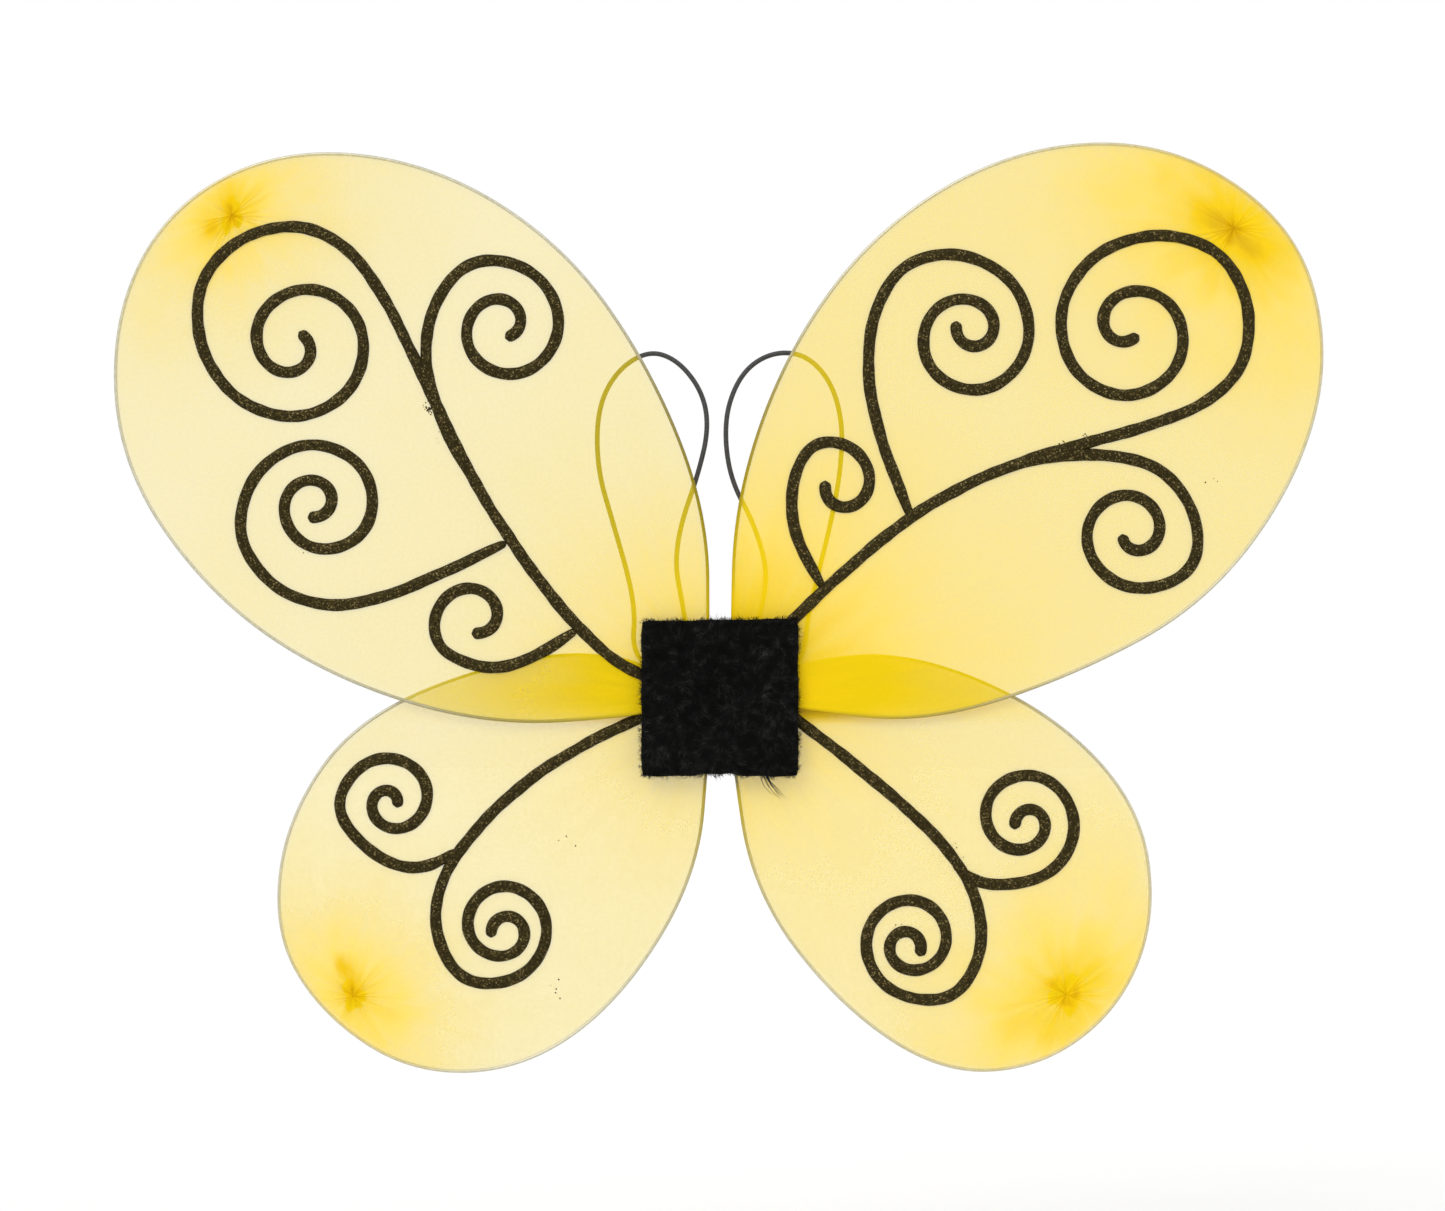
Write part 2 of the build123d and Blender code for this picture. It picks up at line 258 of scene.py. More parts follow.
def nylon_material(name, wing):
    """Sheer dyed nylon: thin in the middle of the wing, dense towards its toe and its root."""
    s = Shader(name)
    side, up = wing["side"], wing["up"]
    toe_x, toe_z = (c * MM for c in wing["toe"])
    flat = s.vector("MULTIPLY", s.place(), (1, 0, 1))
    from_toe = s.vector("SUBTRACT", flat, (toe_x, 0, toe_z))
    from_root = s.vector("SUBTRACT", flat, (side * 4 * MM, 0, 0))
    # The gathers pull the cloth together further along the rim than across it.
    half_way = math.sqrt(0.5)
    along_rim = s.vector("DOT_PRODUCT", from_toe, (half_way, 0, -side * up * half_way))
    across_rim = s.vector("DOT_PRODUCT", from_toe, (half_way, 0, side * up * half_way))
    along_rim = s.math("POWER", s.math("DIVIDE", along_rim, TOE_STRETCH), 2.0)
    toe_far = s.math("SQRT", s.math("ADD", along_rim, s.math("POWER", across_rim, 2.0)))
    root_far = s.vector("LENGTH", from_root)
    # Pleats run straight out from the toe and from the root, so their noise is read by direction.
    toe_way = s.vector("ADD", s.vector("NORMALIZE", from_toe), s.scale(from_toe, 14.0))
    root_way = s.vector("ADD", s.vector("NORMALIZE", from_root), s.scale(from_root, 2.5))
    toe_pleats = s.noise(toe_way, 3.2, 3.0, 0.6)
    root_pleats = s.noise(root_way, 8.0, 3.0, 0.6)
    patches = s.noise(flat, 42.0, 2.0)
    toe_halo = s.math("EXPONENT", s.math("MULTIPLY", toe_far, -1 / wing["halo"][1] / MM))
    root_halo = s.math("EXPONENT", s.math("MULTIPLY", root_far, -1 / ROOT_HALO))
    toe_mix = s.math("ADD", s.math("MULTIPLY", toe_pleats, 0.9), s.math("MULTIPLY", patches, 1.1))
    toe_part = s.math("MULTIPLY", toe_halo, toe_mix)
    root_part = s.math("MULTIPLY", root_halo, s.math("MULTIPLY_ADD", root_pleats, 0.7, 0.65))
    # Painted shade: a lower wing's root cover deepens towards its top, where the upper wing lies
    # over it.
    upright = s.node("ShaderNodeSeparateXYZ", Vector=flat).outputs[2]
    starts, whole = OVERLAP_SHADE_Z
    overlap_shade = s.math("MULTIPLY_ADD", upright, 1 / (whole - starts), -starts / (whole - starts))
    overlap_shade = s.math("MINIMUM", s.math("MAXIMUM", overlap_shade, 0.0), 1.0)
    overlap_shade = s.math("MULTIPLY_ADD", overlap_shade, wing["overlap_shade"], 1.0)
    root_part = s.math("MULTIPLY", root_part, overlap_shade)
    # Each knotted fold is an uneven oval smudge.
    warp = s.node("ShaderNodeTexNoise", Vector=flat, Scale=260.0, Detail=2.0).outputs["Color"]
    warp = s.vector("SUBTRACT", warp, (0.5, 0.5, 0.5))
    near = s.vector("ADD", flat, s.scale(warp, FOLD_WARP))
    folds = None
    for x, z, width, height, turn in wing["folds"]:
        cosine, sine = math.cos(math.radians(turn)), math.sin(math.radians(turn))
        away = s.vector("SUBTRACT", near, (x * MM, 0, z * MM))
        across = s.vector("DOT_PRODUCT", away, (cosine / width / MM, 0, -sine / width / MM))
        tall = s.vector("DOT_PRODUCT", away, (sine / height / MM, 0, cosine / height / MM))
        far = s.math("ADD", s.math("POWER", across, 2.0), s.math("POWER", tall, 2.0))
        fold = s.math("EXPONENT", s.math("MULTIPLY", far, -1.0))
        folds = fold if folds is None else s.math("ADD", folds, fold)
    cloud = s.math("MULTIPLY_ADD", s.noise(flat, 14.0, 2.0), 0.09, -0.045)
    knit = s.math("MULTIPLY_ADD", s.noise(flat, 700.0, 1.0), 0.06, -0.03)
    density = s.math("MULTIPLY", toe_part, wing["halo"][0])
    density = s.math("ADD", density, s.math("MULTIPLY", root_part, wing["root"]))
    density = s.math("ADD", density, s.math("MULTIPLY", folds, 0.25))
    density = s.math("ADD", density, s.math("ADD", cloud, wing["shade"]))
    cover = s.tree.nodes.new("ShaderNodeAttribute")
    cover.attribute_name = "cover"
    covered = s.math("MULTIPLY", s.math("ADD", density, knit), cover.outputs["Fac"])
    alpha = s.math("MINIMUM", s.math("MAXIMUM", covered, ALPHA[0]), ALPHA[1])
    deepness = s.math("MULTIPLY_ADD", density, 0.7, s.math("MULTIPLY", folds, 0.20))
    colour = s.ramp(
        deepness, (0.21, (0.75, 0.595, 0.004)), (0.42, (0.88, 0.650, 0.002)),
        (0.70, (0.82, 0.54, 0.001)), (1.0, (0.70, 0.43, 0.001)),
    )
    s.set(Base_Color=colour, Alpha=alpha, Roughness=0.6)
    s.surface.inputs["Specular IOR Level"].default_value = 0.08
    s.bump(toe_part, 0.12, 0.0009)
    return s.material


def glitter_material():
    """Black craft glue full of fine flakes, each tilted its own way."""
    s = Shader("glitter_glue")
    flakes = s.node("ShaderNodeTexVoronoi", Vector=s.place(), Scale=2300.0)
    tilt = flakes.outputs["Color"]
    pick = s.node("ShaderNodeSeparateColor", Color=tilt)
    coarse = s.noise(s.place(), 420.0, 2.0)
    colour = s.ramp(
        s.math("MULTIPLY", pick.outputs[0], s.math("MULTIPLY_ADD", coarse, 0.5, 0.75)),
        (0.0, (0.007, 0.005, 0.001)), (0.62, (0.018, 0.013, 0.003)), (0.88, (0.060, 0.046, 0.014)),
        (0.98, (0.20, 0.155, 0.065)),
    )
    s.set(Base_Color=colour, Roughness=s.math("MULTIPLY_ADD", pick.outputs[1], 0.35, 0.28))
    s.surface.inputs["Specular IOR Level"].default_value = 0.22
    s.surface.inputs["Specular Tint"].default_value = (0.9, 0.72, 0.35, 1)
    s.set(Metallic=s.ramp(pick.outputs[0], (0.55, (0, 0, 0)), (0.9, (0.7, 0.7, 0.7))))
    s.bump(s.math("ADD", pick.outputs[2], s.math("MULTIPLY", coarse, 2.0)), 0.55, 0.00025)
    return s.material


# Painted shade on the wire: it goes dark and yellowed round the root, where the dense nylon shades
# and tints it.
WIRE_SHADE_CENTRE = (0, 0, 40 * MM)
WIRE_SHADE_SHAPE = (1.0, 1.0, 1.3)  # it reaches less far up and down than sideways


def wire_material():
    """Drawn steel wire with faint lines along it, with painted shade near the root."""
    s = Shader("frame_wire")
    streak = s.noise(s.vector("MULTIPLY", s.place(), (1.0, 4.0, 1.0)), 700.0, 3.0)
    from_wire_shade = s.vector("SUBTRACT", s.place(), WIRE_SHADE_CENTRE)
    # Painted shade: dark yellowed steel near the root, plain steel further out.
    shaded_steel = s.ramp(
        s.vector("LENGTH", s.vector("MULTIPLY", from_wire_shade, WIRE_SHADE_SHAPE)),
        (0.060, (0.11, 0.085, 0.03)), (0.110, (0.24, 0.22, 0.16)), (0.145, (0.45, 0.45, 0.44)),
        (0.200, (0.57, 0.57, 0.55)),
    )
    streaky = s.node("ShaderNodeCombineXYZ", X=streak, Y=streak, Z=streak).outputs[0]
    streaky = s.vector("ADD", s.scale(streaky, 0.7), (0.65, 0.65, 0.65))
    s.set(Base_Color=s.vector("MULTIPLY", shaded_steel, streaky), Metallic=1.0)
    s.set(Roughness=s.math("MULTIPLY_ADD", streak, 0.25, 0.28))
    s.bump(streak, 0.2, 0.0001)
    return s.material


def plush_material(name, light):
    """Deep black pile. light is how bright its palest fibres are."""
    s = Shader(name)
    clumps = s.noise(s.place(), 220.0, 3.0)
    fine = s.noise(s.place(), 1300.0, 2.0)
    s.set(Base_Color=s.ramp(
        s.math("MULTIPLY", clumps, s.math("ADD", fine, 0.5)),
        (0.25, (0.0030, 0.0030, 0.0027)), (0.55, (0.4 * light, 0.4 * light, 0.38 * light)),
        (0.80, (light, light, 0.94 * light)),
    ))
    s.set(Roughness=s.math("MULTIPLY_ADD", fine, 0.2, 0.6))
    s.surface.inputs["Specular IOR Level"].default_value = 0.06
    s.bump(clumps, 0.4, 0.0005)
    return s.material


def elastic_material():
    """Dark braided round elastic."""
    s = Shader("elastic")
    fine = s.noise(s.place(), 1400.0, 2.0)
    s.set(Base_Color=s.ramp(fine, (0.3, (0.012, 0.012, 0.014)), (0.7, (0.045, 0.045, 0.05))))
    s.set(Roughness=s.math("MULTIPLY_ADD", fine, 0.2, 0.5))
    s.surface.inputs["Sheen Weight"].default_value = 0.1
    s.bump(fine, 0.4, 0.0002)
    return s.material


def plain_material(name, dark, pale, scale, rough, height):
    """A mottled matt finish, for the tape and the glue inside."""
    s = Shader(name)
    mottle = s.noise(s.place(), scale, 3.0)
    s.set(Base_Color=s.ramp(mottle, (0.3, dark), (0.7, pale)))
    s.set(Roughness=s.math("MULTIPLY_ADD", mottle, 0.2, rough))
    s.bump(mottle, 0.4, height)
    return s.material


glitter = glitter_material()
steel = wire_material()
plush = plush_material("plush", 0.010)
pile = plush_material("plush_pile", 0.050)
elastic = elastic_material()
tape = plain_material("cloth_tape", (0.55, 0.54, 0.50), (0.75, 0.74, 0.70), 900.0, 0.7, 0.0003)
glue = plain_material("hot_glue", (0.72, 0.70, 0.60), (0.88, 0.86, 0.78), 300.0, 0.25, 0.0003)
thread = plain_material("thread", (0.50, 0.30, 0.01), (0.75, 0.50, 0.03), 2500.0, 0.7, 0.0003)

# ---------------------------------------------------------------- elastic shoulder loops
STRAP_ROUTES = {
    "left": [
        (-22, STRAP_Y, 10.5), (-31, STRAP_Y, 13), (-35.0, -4.0, 21.5), (-34, -2.5, 32),
        (-36, 0, 46), (-43, 4, 70), (-49.5, 8, 92), (-49.5, 11, 116), (-42, 13, 131.5),
        (-29, 14, 140), (-17, 13.5, 136), (-7, 12, 123), (-4.5, 10.5, 108), (-9, 8, 89),
        (-16, 5, 69), (-18, 2, 53), (-15.5, -2, 40), (-13.8, STRAP_Y, 30), (-12, STRAP_Y, 21),
    ],
    "right": [
        (12.5, STRAP_Y, 21), (15.3, STRAP_Y, 31), (18, -2, 41), (18.5, 2, 54), (13, 5, 71),
        (5, 8, 86), (2, 10, 102), (3, 12, 118), (10, 13.5, 132.5), (22, 14, 139.5),
        (35, 13, 138), (45, 11.5, 127), (49.5, 9.5, 110), (48.5, 7, 91), (45, 4, 72),
        (39.5, 0.5, 50), (35, -2.5, 32), (34, -4.0, 20), (30, STRAP_Y, 11), (22, STRAP_Y, 7),
    ],
}


def nurbs_route(name, points, closed=False):
    """A curve of one smooth spline whose control points are the route's."""
    data = bpy.data.curves.new(name, "CURVE")
    data.dimensions = "3D"
    spline = data.splines.new("NURBS")
    spline.points.add(len(points) - 1)
    for control, (x, y, z) in zip(spline.points, points):
        control.co = (x, y, z, 1)
    spline.order_u = 3
    if closed:
        spline.use_cyclic_u = True
    else:
        spline.use_endpoint_u = True
    spline.resolution_u = 12
    data.use_fill_caps = not closed
    route = bpy.data.objects.new(name, data)
    bpy.context.scene.collection.objects.link(route)
    return route


def make_straps():
    """Two slack loops of round elastic, each held by its ends between the pads."""
    for side, points in STRAP_ROUTES.items():
        route = [(x * MM, y * MM, z * MM) for x, y, z in points]
        strap = nurbs_route("elastic_strap_" + side, route)
        strap.data.bevel_depth = STRAP_D / 2
        strap.data.bevel_resolution = 4
        strap.data.materials.append(elastic)
        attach(strap, "root")
        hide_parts("strap_" + side)


make_straps()

# ---------------------------------------------------------------- the four wings, in mm
# rim: corners of the wire loop from the pad's top or bottom edge, round the tip, to the pad's side.
# strokes: each glitter line's stem, then its curl, as curl() takes it.
# shade: how closely the nylon covers in the middle.
# halo: how much closer it covers round the toe, and how far that reaches.
# root: how much closer it covers at the root.
# overlap_shade: how many times more than that it covers along the wing's top edge, as painted shade
# where an upper wing lies over it.
# knot: the gathered toe's width, height and turn in degrees.
# folds: each dark fold's place, width, height and turn in degrees.
# crumbs: each patch of stray glue drops' place, spread and count.
WINGS = {
    "upper_left": {
        "side": -1, "up": 1, "shade": 0.275, "halo": (0.60, 21.0), "root": 0.80, "overlap_shade": 0.0,
        "knot": (2.2, 4.4, 15),
        "crumbs": [(-116, 115, 1.3, 40), (-109, 104, 1.6, 14), (-163, 60, 2.5, 3)],
        "folds": [
            (-194.0, 190.5, 1.6, 2.6, 10), (-195.5, 195, 2.6, 3.2, -15), (-202, 187, 3.0, 3.6, 40),
        ],
        "rim": [
            (-5, 74), (-28, 132), (-63, 181), (-115, 213), (-173, 219), (-219, 196),
            (-242, 151), (-239, 93), (-204, 42), (-157, 9), (-94, -11), (-32, -7),
        ],
        "toe": (-194.5, 192.0),
        "strokes": [
            ([(-28, 8), (-51, 19), (-105, 91), (-145, 194)],
             ((-164.5, 146.5), (-172.5, 139.5), 48.0, 7.5, 137, 635)),
            ([(-101, 90.5), (-108, 104), (-121, 139)],
             ((-87.0, 144.5), (-87.5, 150.0), 32.0, 6.5, 124, -558)),
            ([(-85, 62), (-155, 29)], ((-157.0, 73.5), (-163.5, 78.0), 36.0, 6.0, 210, -666)),
            ([(-57, 27), (-84, 10)], ((-102.0, 29.0), (-98.0, 35.5), 13.5, 9.5, 255, -350)),
        ],
    },
    "upper_right": {
        "side": 1, "up": 1, "shade": 0.385, "halo": (0.66, 27.0), "root": 1.15, "overlap_shade": 0.0,
        "knot": (2.2, 4.6, 40),
        "crumbs": [(145, 102, 1.6, 45), (137, 101, 1.4, 14), (197, 88, 3.0, 3)],
        "folds": [
            (204.5, 184.5, 1.8, 3.4, 25), (198, 189.5, 10.0, 4.5, 37), (211, 179, 7.0, 3.5, 37),
        ],
        "rim": [
            (6, 80), (28, 141), (66, 190), (121, 220), (180, 221), (229, 188),
            (243, 138), (230, 87), (194, 38), (141, 9), (82, -10), (33, -4),
        ],
        "toe": (204.5, 187.0),
        "strokes": [
            ([(26, 28), (96, 93), (199, 111), (214, 151)],
             ((169.0, 142.0), (162.0, 151.0), 46.0, 7.5, 52, 614)),
            ([(109, 88.8), (127, 96.5), (178, 97)],
             ((163.5, 68.5), (166.0, 65.5), 30.5, 5.5, -17, -520)),
            ([(76, 72), (55, 127)], ((95.0, 141.5), (100.5, 149.0), 38.5, 6.0, 134, -683)),
            ([(41, 44), (26, 71)], ((45.5, 87.5), (50.5, 85.0), 16.0, 8.0, 141, -331)),
        ],
    },
    "lower_left": {
        "side": -1, "up": -1, "shade": 0.275, "halo": (0.56, 22.0), "root": 0.45, "overlap_shade": 3.0,
        "knot": (2.4, 3.8, -20), "crumbs": [(-65, -117, 2.5, 5), (-60, -58, 3.0, 3)],
        "folds": [(-146.5, -116.5, 3.4, 4.4, 0), (-150.5, -107, 2.8, 4.0, -20)],
        "rim": [
            (-9, -71), (-40, -121), (-78, -148), (-122, -150), (-158, -127), (-178, -94),
            (-173, -48), (-143, -6), (-76, 18), (-32, 16),
        ],
        "toe": (-146.5, -119.0),
        "strokes": [
            ([(-27, -6), (-71, -26), (-117, -72)],
             ((-89.5, -89.5), (-85.5, -95.0), 26.5, 5.5, -135, 682)),
            ([(-105, -61), (-125, -72)], ((-128.5, -41.5), (-133.0, -43.0), 24.5, 4.0, 200, -572)),
        ],
    },
    "lower_right": {
        "side": 1, "up": -1, "shade": 0.335, "halo": (0.60, 26.0), "root": 0.50, "overlap_shade": 4.0,
        "knot": (3.8, 4.2, 0), "crumbs": [(71, -93, 3.0, 3), (95, -60, 3.0, 4)],
        "folds": [(133, -114, 3.0, 2.0, -20), (142, -118, 2.0, 3.6, 10), (138, -122, 3.0, 1.8, 20)],
        "rim": [
            (13, -77), (48, -123), (89, -150), (129, -147), (160, -123), (174, -86),
            (167, -42), (131, -5), (77, 18), (33, 15),
        ],
        "toe": (138.0, -118.5),
        "strokes": [
            ([(27, -6), (107, -69)], ((79.5, -95.0), (74.5, -101.0), 28.0, 5.0, -42, -702)),
            ([(93, -66), (105, -76)], ((118.0, -47.5), (123.0, -52.0), 26.5, 5.0, -62, 608)),
        ],
    },
}


def plane_of(wing):
    """Y of a wing's middle plane."""
    return UPPER_Y if wing["up"] > 0 else LOWER_Y


def frame_corners(wing):
    """Corners of a wing's wire loop, in metres: its root run on the hinge line, then its rim."""
    side, up, plane_y = wing["side"], wing["up"], plane_of(wing)
    root = [(side * HINGE_X, HINGE_Y, up * z * MM) for z in (3.0, 4.5, 12.5, 14.0)]
    root.append((side * (HINGE_X - 0.2 * MM), plane_y, up * 20.0 * MM))
    rim = [(x * MM, plane_y, z * MM) for x, z in wing["rim"]]
    return root + rim + [(side * 13.0 * MM, plane_y, 0.0)]


def make_wire(name, wing):
    """The steel loop that holds the wing open."""
    wire = nurbs_route("frame_wire_" + name, frame_corners(wing), closed=True)
    wire.data.bevel_depth = WIRE_D / 2
    wire.data.bevel_resolution = 3
    wire.data.materials.append(steel)
    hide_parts("wire_" + name)
    return wire


# ---------------------------------------------------------------- nylon sleeves
RAYS = 520  # from the toe to the rim
WRAP_ANGLES = (30, 60, 85)  # degrees round the wire, from its outside
RIM_STEPS = (0.4, 1.0, 2.0, 3.5, 6.0)  # mm in from the wire, where the layers close up
TOE_FOLDS = 26
INNER_RINGS = 70
RIM_COVER = 0.42  # the cloth is stretched thinnest round the wire
ROOT_GATHER = 80.0 * MM  # how far from the root it is drawn together instead
RIM_FADE = (0.62, 0.82, 0.95, 1.00, 1.00)  # and how it closes up again, at each of RIM_STEPS


def layer_depth(from_rim):
    """How far a layer stands from the wing's middle plane."""
    at_wire = WIRE_D / 2 + WIRE_PLAY
    return LAYER_GAP + (at_wire - LAYER_GAP) * np.exp(-from_rim / (2.5 * MM))


def rim_points(wing):
    """Points round the loop, closer together where they are near the toe, with outward normals."""
    outline = np.array([(x, z) for x, _, z in frame_corners(wing)])
    fine = smooth_line(outline, True, 0.25 * MM)
    toe = np.array(wing["toe"]) * MM
    onward = np.roll(fine, -1, axis=0) - fine
    away = fine - toe
    swing = np.abs(away[:, 0] * onward[:, 1] - away[:, 1] * onward[:, 0]) / (away**2).sum(1)
    length = np.linalg.norm(onward, axis=1)
    weight = length / length.sum() + swing / swing.sum()
    reached = np.r_[0, np.cumsum(weight)]
    places = np.linspace(0, reached[-1], RAYS, endpoint=False)
    closed = np.vstack([fine, fine[:1]])
    rim = np.stack([np.interp(places, reached, closed[:, k]) for k in (0, 1)], axis=1)
    tangent = np.roll(rim, -1, axis=0) - np.roll(rim, 1, axis=0)
    tangent /= np.linalg.norm(tangent, axis=1)[:, None]
    normal = np.stack([tangent[:, 1], -tangent[:, 0]], axis=1)
    if (normal * (rim - toe)).sum() < 0:
        normal = -normal
    return rim, normal, toe


def sleeve_rings(wing, facing):
    """One layer's rings of points, from the rim in to the toe.

    facing is -1 for the layer in front and +1 for the layer behind.
    """
    rim, normal, toe = rim_points(wing)
    plane_y = plane_of(wing)
    reach = WIRE_D / 2 + WIRE_PLAY
    rings = []
    for angle in WRAP_ANGLES:
        out, depth = reach * math.cos(math.radians(angle)), reach * math.sin(math.radians(angle))
        spread = rim + normal * out
        rings.append(np.c_[spread[:, 0], np.full(RAYS, plane_y + facing * depth), spread[:, 1]])
    spoke = toe - rim
    spoke_length = np.linalg.norm(spoke, axis=1)[:, None]
    shares = [np.full((RAYS, 1), step * MM) / spoke_length for step in RIM_STEPS]
    start = RIM_STEPS[-1] * MM / spoke_length
    for k in range(1, INNER_RINGS + 1):
        shares.append(start + (1 - start) * (1 - (1 - k / (INNER_RINGS + 1)) ** 1.6))
    angle = np.arctan2(-spoke[:, 1], -spoke[:, 0])
    for share in shares:
        flat = rim + spoke * share
        from_rim = (share * spoke_length)[:, 0]
        from_toe = ((1 - share) * spoke_length)[:, 0]
        folds = np.sin(angle * TOE_FOLDS + 1.7 * np.sin(3 * angle) + 2.0 * np.sin(7 * angle + 1.0))
        fade = np.exp(-from_toe / (16 * MM)) * (1 - np.exp(-from_toe / (2 * MM)))
        fade *= 1 - np.exp(-from_rim / (6 * MM))
        drawn = np.exp(-from_toe / (3.0 * MM))
        depth = layer_depth(from_rim) + fade * folds * (0.22 if facing < 0 else 0.45) * MM
        y = plane_y + facing * depth + drawn * (0.25 if facing < 0 else 1.2) * MM
        rings.append(np.c_[flat[:, 0], y, flat[:, 1]])
    return rings


def cut_root(points, faces, wing):
    """The sleeve without its cloth inside the root cut, and which of its points are left.

    The points along the cut are brought on to its circle.
    """
    cut_x, cut_z, cut_r = ROOT_CUT
    centre = np.array([wing["side"] * cut_x, wing["up"] * cut_z])
    middles = points[faces][:, :, [0, 2]].mean(1)
    outside = np.linalg.norm(middles - centre, axis=1) > cut_r
    hem = np.intersect1d(faces[outside], faces[~outside])
    faces = faces[outside]
    away = points[hem][:, [0, 2]] - centre
    points[np.ix_(hem, [0, 2])] = centre + away * cut_r / np.linalg.norm(away, axis=1)[:, None]
    kept, faces = np.unique(faces, return_inverse=True)
    return points[kept], faces.reshape(-1, 4), kept


def make_sleeve(name, wing):
    """The stocking: its front layer, its back layer and the rim where they join round the wire."""
    rim, normal, toe = rim_points(wing)
    edge = rim + normal * (WIRE_D / 2 + WIRE_PLAY)
    outer = np.c_[edge[:, 0], np.full(RAYS, plane_of(wing)), edge[:, 1]]
    vertices, faces = [outer], []
    for facing in (-1, 1):
        rings = sleeve_rings(wing, facing)
        base = sum(len(v) for v in vertices)
        starts = [0] + [base + k * RAYS for k in range(len(rings))]
        vertices.extend(rings)
        for a, b in zip(starts[:-1], starts[1:]):
            for i in range(RAYS):
                j = (i + 1) % RAYS
                quad = (a + i, a + j, b + j, b + i)
                faces.append(quad if facing < 0 else quad[::-1])
    layer_cover = [RIM_COVER] * len(WRAP_ANGLES) + list(RIM_FADE) + [1.0] * INNER_RINGS
    cover = np.repeat([RIM_COVER] + layer_cover * 2, RAYS)
    points = np.vstack(vertices)
    cover += (1 - cover) * np.exp(-(points[:, 0] ** 2 + points[:, 2] ** 2) / ROOT_GATHER**2)
    points, faces, kept = cut_root(points, np.array(faces), wing)
    cloth = nylon_material("nylon_" + name, wing)
    sleeve = mesh_object("nylon_sleeve_" + name, points, faces, [cloth])
    sleeve.data.attributes.new("cover", "FLOAT", "POINT").data.foreach_set("value", cover[kept])
    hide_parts("nylon_" + name)
    return sleeve


# ---------------------------------------------------------------- glitter swirls
BEAD_STEP = 0.9 * MM
BEAD_SIDES = 11  # points across the rounded top
CRUMB_SIDES = 7


def bead(route, surface_y, dice, branches):
    """One line of glue: rounded on top, flat on the nylon, with rounded ends and an uneven hand.

    A line that branches off another starts thinner, so that the two run together.
    """
    line = stroke_line(np.array(route) * MM, BEAD_STEP)
    count = len(line)
    along = np.linspace(0, (count - 1) * BEAD_STEP, count)
    tangent = np.gradient(line, axis=0)
    tangent /= np.linalg.norm(tangent, axis=1)[:, None]
    across = np.stack([-tangent[:, 1], tangent[:, 0]], axis=1)
    half = BEAD_WIDTH / 2
    to_end = np.minimum(along, along[-1] - along)
    rounding = np.sqrt(np.clip(1 - (1 - np.clip(to_end / half, 0, 1)) ** 2, 0.02, 1))
    uneven = 1 + sum(
        dice.uniform(0.015, 0.03) * np.sin(along / (period * MM) + dice.uniform(0, 6.3))
        for period in (1.3, 2.9, 6.1, 13.0)
    )
    if branches:
        uneven *= 0.62 + 0.38 * np.clip(along / (11 * MM), 0, 1) ** 0.8
    wander = sum(
        dice.uniform(0.04, 0.10) * MM * np.sin(along / (period * MM) + dice.uniform(0, 6.3))
        for period in (4.0, 9.0)
    )
    width, height = half * rounding * uneven, BEAD_HEIGHT * rounding * (2 - uneven)
    angles = np.linspace(0, math.pi, BEAD_SIDES)
    points = []
    for angle in angles:
        grain = np.array([dice.gauss(0, 0.055 * MM) for _ in range(count)])
        out = -np.cos(angle) * width + wander
        up = np.sin(angle) ** 0.8 * height + (grain if 0 < angle < math.pi else 0) * rounding
        flat = line + across * out[:, None]
        points.append(np.c_[flat[:, 0], surface_y - up, flat[:, 1]])
    points = np.stack(points, axis=1).reshape(-1, 3)
    faces = []
    for i in range(count - 1):
        for k in range(BEAD_SIDES):
            n = (k + 1) % BEAD_SIDES
            a, b = i * BEAD_SIDES, (i + 1) * BEAD_SIDES
            faces.append((a + k, a + n, b + n, b + k))
    faces.append(tuple(range(BEAD_SIDES))[::-1])
    faces.append(tuple((count - 1) * BEAD_SIDES + k for k in range(BEAD_SIDES)))
    return points, faces


def crumb(x, z, size, surface_y, dice):
    """A stray drop of glitter glue beside a line."""
    points = [(x, surface_y - 0.6 * size, z)]
    for height, spread in ((0.35, 0.7), (0.0, 1.0)):
        for k in range(CRUMB_SIDES):
            r, a = size * spread * dice.uniform(0.7, 1.2), k * math.tau / CRUMB_SIDES
            points.append((x + r * math.cos(a), surface_y - height * size, z + r * math.sin(a)))
    faces = []
    for k in range(CRUMB_SIDES):
        n = (k + 1) % CRUMB_SIDES
        upper, lower = 1 + k, 1 + CRUMB_SIDES + k
        faces.append((0, upper, 1 + n))
        faces.append((upper, lower, 1 + CRUMB_SIDES + n, 1 + n))
    return points, faces


def make_swirl(name, wing):
    """All of a wing's glitter lines."""
    dice = random.Random("swirl " + name)
    surface_y = plane_of(wing) - LAYER_GAP + 0.05 * MM
    vertices, faces = [], []
    drops = [
        bead(stem + curl(*turns), surface_y, dice, k > 0)
        for k, (stem, turns) in enumerate(wing["strokes"])
    ]
    for x, z, spread, count in wing["crumbs"]:
        for _ in range(count):
            near_x, near_z = x + dice.gauss(0, spread), z + dice.gauss(0, spread)
            size = dice.uniform(0.16, 0.42) * MM
            drops.append(crumb(near_x * MM, near_z * MM, size, surface_y, dice))
    for points, quads in drops:
        base = sum(len(v) for v in vertices)
        vertices.append(points)
        faces.extend(tuple(base + i for i in face) for face in quads)
    swirl = mesh_object("glitter_swirl_" + name, np.vstack(vertices), faces, [glitter])
    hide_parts("swirl_" + name)
    return swirl


